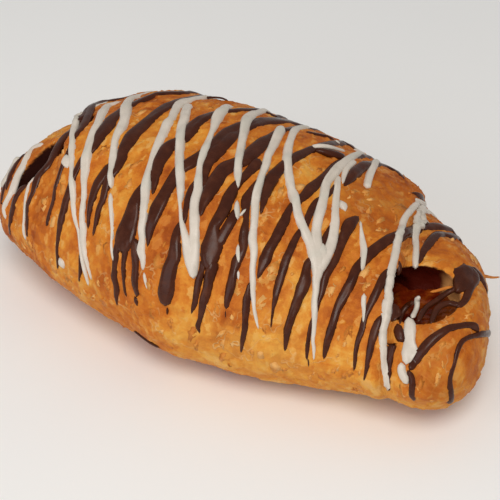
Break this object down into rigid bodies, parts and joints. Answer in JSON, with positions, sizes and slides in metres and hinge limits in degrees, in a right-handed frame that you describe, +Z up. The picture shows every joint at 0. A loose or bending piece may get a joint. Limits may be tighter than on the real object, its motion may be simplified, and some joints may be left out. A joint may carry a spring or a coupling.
{
  "type": "danish pastry",
  "caption": "Rolled flaky pastry with a jam filling showing at its open end and dark and white chocolate drizzled across it.",
  "frame": {"origin": "on the flat underside, below the middle of the pastry's box", "axes": "+X along the roll to the end where the jam shows, +Z up, -Y to the front that the picture shows"},
  "size_m": [0.15, 0.0848, 0.0562],
  "materials": {
    "crust": null,
    "jam": null
  },
  "bodies": {
    "root": {"pastry": "crust", "jam": "jam"}
  },
  "joints": []
}
